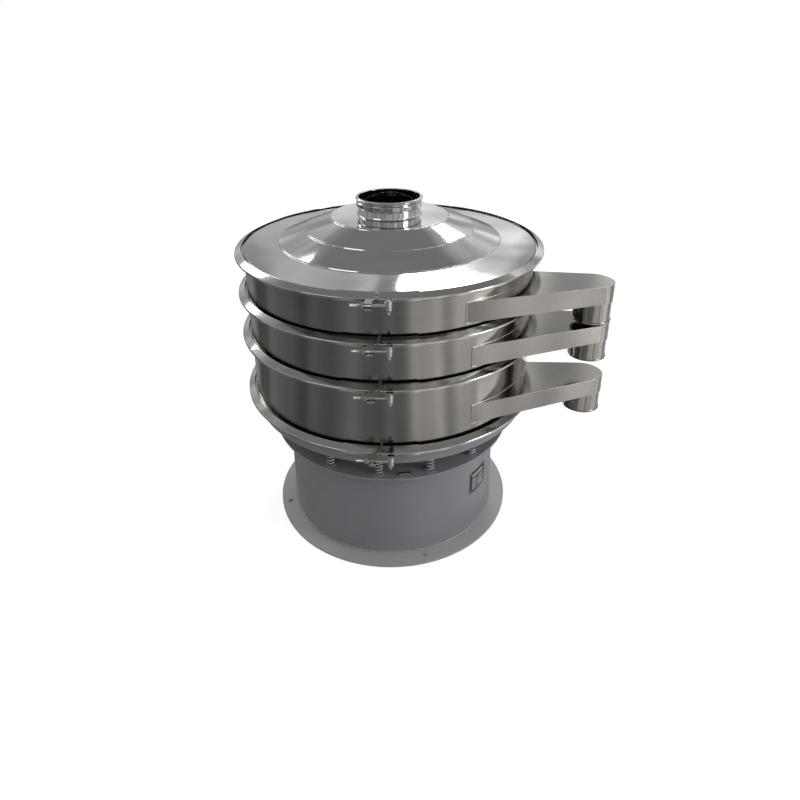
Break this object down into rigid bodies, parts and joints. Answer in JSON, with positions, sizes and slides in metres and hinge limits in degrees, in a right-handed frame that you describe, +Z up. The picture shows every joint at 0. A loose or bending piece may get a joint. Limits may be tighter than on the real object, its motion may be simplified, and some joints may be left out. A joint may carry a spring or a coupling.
{
  "type": "vibrating sieve",
  "caption": "Round multi-deck vibrating sieve: stacked clamped drums with side spouts on a spring-mounted motor table over a bolt-down base, with a feed collar in the lid.",
  "frame": {"origin": "on the floor, on the machine's axis, at the centre of the foot bolt circle", "axes": "+Z up along the axis; +X towards the outlet side; the clamp closures face -Y"},
  "size_m": [1.2619, 1.0938, 1.207],
  "materials": {
    "base_paint": "satin grey enamel",
    "drum_steel": "brushed stainless sheet",
    "lid_steel": "polished stainless sheet",
    "clamp_steel": "polished stainless ring",
    "fastener_steel": "bright plated steel",
    "yellow_plate": "yellow zinc plate",
    "spring_steel": "bright wire",
    "mesh_steel": "woven wire",
    "seal_rubber": "pale silicone",
    "ball_rubber": "natural rubber",
    "motor_paint": "blue-grey enamel",
    "weight_iron": "raw cast iron",
    "plate_black": "black bordered plate",
    "gland_black": "moulded"
  },
  "bodies": {
    "base": {"base_barrel": "base_paint", "foot_flange": "base_paint", "spring_ring": "base_paint", "transit_stop": "base_paint", "nameplate": "plate_black", "nameplate_rivets": "fastener_steel", "cable_gland": "gland_black", "lower_seats": "base_paint", "springs": "spring_steel"},
    "table": {"upper_seats": "base_paint", "table_dish": "base_paint", "table_ribs": "base_paint", "table_gasket": "seal_rubber", "motor_housing": "motor_paint", "terminal_box": "motor_paint", "motor_bolts": "fastener_steel", "motor_bearings": "fastener_steel", "clamp_4_band": "clamp_steel", "clamp_4_pin": "fastener_steel"},
    "rotor": {"motor_shaft": "fastener_steel", "upper_weight": "weight_iron"},
    "phase_weight": {"lower_weight": "weight_iron"},
    "bottom_frame": {"bottom_drum": "drum_steel", "bottom_pan": "drum_steel", "bottom_spout": "drum_steel", "lower_screen_ring": "drum_steel", "lower_mesh": "mesh_steel", "lower_ball_tray": "drum_steel", "lower_gasket": "seal_rubber", "clamp_3_band": "clamp_steel", "clamp_3_pin": "fastener_steel"},
    "middle_frame": {"middle_drum": "drum_steel", "middle_spout": "drum_steel", "upper_screen_ring": "drum_steel", "upper_mesh": "mesh_steel", "upper_ball_tray": "drum_steel", "upper_gasket": "seal_rubber", "clamp_2_band": "clamp_steel", "clamp_2_pin": "fastener_steel"},
    "upper_frame": {"upper_drum": "drum_steel", "upper_spout": "drum_steel", "lid_gasket": "seal_rubber", "lid": "lid_steel", "feed_collar": "lid_steel", "clamp_1_band": "clamp_steel", "clamp_1_pin": "fastener_steel"},
    "lower_ball_set": {"lower_balls": "ball_rubber"},
    "upper_ball_set": {"upper_balls": "ball_rubber"},
    "swing_bolt_1": {"clamp_1_bolt": "fastener_steel"},
    "washer_1": {"clamp_1_washer": "fastener_steel"},
    "nut_1": {"clamp_1_nut": "fastener_steel"},
    "swing_bolt_2": {"clamp_2_bolt": "fastener_steel"},
    "washer_2": {"clamp_2_washer": "fastener_steel"},
    "nut_2": {"clamp_2_nut": "fastener_steel"},
    "swing_bolt_3": {"clamp_3_bolt": "fastener_steel"},
    "washer_3": {"clamp_3_washer": "fastener_steel"},
    "nut_3": {"clamp_3_nut": "fastener_steel"},
    "swing_bolt_4": {"clamp_4_bolt": "fastener_steel"},
    "washer_4": {"clamp_4_washer": "fastener_steel"},
    "nut_4": {"clamp_4_nut": "yellow_plate"}
  },
  "joints": [
    {"name": "table_bounce", "type": "slide", "parent": "base", "child": "table", "axis": [0, 0, 1], "range_m": [-0.006, 0.006], "stiffness_N_per_m": 300000, "springref_m": 0.009, "deforming": ["springs"]},
    {"name": "rotor_spin", "type": "hinge", "parent": "table", "child": "rotor", "pos_m": [0, 0, 0.328], "axis": [0, 0, 1], "continuous": true},
    {"name": "weight_phase", "type": "hinge", "parent": "rotor", "child": "phase_weight", "pos_m": [0, 0, 0.151], "axis": [0, 0, 1], "range_deg": [-45, 45]},
    {"name": "bottom_frame_turn", "type": "hinge", "parent": "table", "child": "bottom_frame", "pos_m": [0, 0, 0.533], "axis": [0, 0, 1], "continuous": true},
    {"name": "middle_frame_turn", "type": "hinge", "parent": "bottom_frame", "child": "middle_frame", "pos_m": [0, 0, 0.753], "axis": [0, 0, 1], "continuous": true},
    {"name": "upper_frame_turn", "type": "hinge", "parent": "middle_frame", "child": "upper_frame", "pos_m": [0, 0, 0.904], "axis": [0, 0, 1], "continuous": true},
    {"name": "lower_ball_hop", "type": "slide", "parent": "bottom_frame", "child": "lower_ball_set", "axis": [0, 0, 1], "range_m": [0, 0.006]},
    {"name": "upper_ball_hop", "type": "slide", "parent": "middle_frame", "child": "upper_ball_set", "axis": [0, 0, 1], "range_m": [0, 0.006]},
    {"name": "bolt_swing_1", "type": "hinge", "parent": "upper_frame", "child": "swing_bolt_1", "pos_m": [-0.00665, -0.55389, 1.036], "axis": [0, 0, 1], "range_deg": [0, 110]},
    {"name": "washer_slide_1", "type": "slide", "parent": "swing_bolt_1", "child": "washer_1", "axis": [-0.9976, 0.0698, 0], "range_m": [0, 0.018]},
    {"name": "nut_turn_1", "type": "hinge", "parent": "washer_1", "child": "nut_1", "pos_m": [-0.07399, -0.54918, 1.036], "axis": [-0.9976, 0.0698, 0], "range_deg": [0, 4335]},
    {"name": "bolt_swing_2", "type": "hinge", "parent": "middle_frame", "child": "swing_bolt_2", "pos_m": [-0.00665, -0.55389, 0.898], "axis": [0, 0, 1], "range_deg": [0, 110]},
    {"name": "washer_slide_2", "type": "slide", "parent": "swing_bolt_2", "child": "washer_2", "axis": [-0.9976, 0.0698, 0], "range_m": [0, 0.018]},
    {"name": "nut_turn_2", "type": "hinge", "parent": "washer_2", "child": "nut_2", "pos_m": [-0.07399, -0.54918, 0.898], "axis": [-0.9976, 0.0698, 0], "range_deg": [0, 4335]},
    {"name": "bolt_swing_3", "type": "hinge", "parent": "bottom_frame", "child": "swing_bolt_3", "pos_m": [-0.00665, -0.55389, 0.747], "axis": [0, 0, 1], "range_deg": [0, 110]},
    {"name": "washer_slide_3", "type": "slide", "parent": "swing_bolt_3", "child": "washer_3", "axis": [-0.9976, 0.0698, 0], "range_m": [0, 0.018]},
    {"name": "nut_turn_3", "type": "hinge", "parent": "washer_3", "child": "nut_3", "pos_m": [-0.07399, -0.54918, 0.747], "axis": [-0.9976, 0.0698, 0], "range_deg": [0, 4335]},
    {"name": "bolt_swing_4", "type": "hinge", "parent": "table", "child": "swing_bolt_4", "pos_m": [-0.00665, -0.55389, 0.527], "axis": [0, 0, 1], "range_deg": [0, 110]},
    {"name": "washer_slide_4", "type": "slide", "parent": "swing_bolt_4", "child": "washer_4", "axis": [-0.9976, 0.0698, 0], "range_m": [0, 0.018]},
    {"name": "nut_turn_4", "type": "hinge", "parent": "washer_4", "child": "nut_4", "pos_m": [-0.07399, -0.54918, 0.527], "axis": [-0.9976, 0.0698, 0], "range_deg": [0, 4335]}
  ],
  "couplings": [
    {"joint": "nut_turn_1", "follows": "washer_slide_1", "rad_per_m": 4188.8},
    {"joint": "nut_turn_2", "follows": "washer_slide_2", "rad_per_m": 4188.8},
    {"joint": "nut_turn_3", "follows": "washer_slide_3", "rad_per_m": 4188.8},
    {"joint": "nut_turn_4", "follows": "washer_slide_4", "rad_per_m": 4188.8}
  ]
}
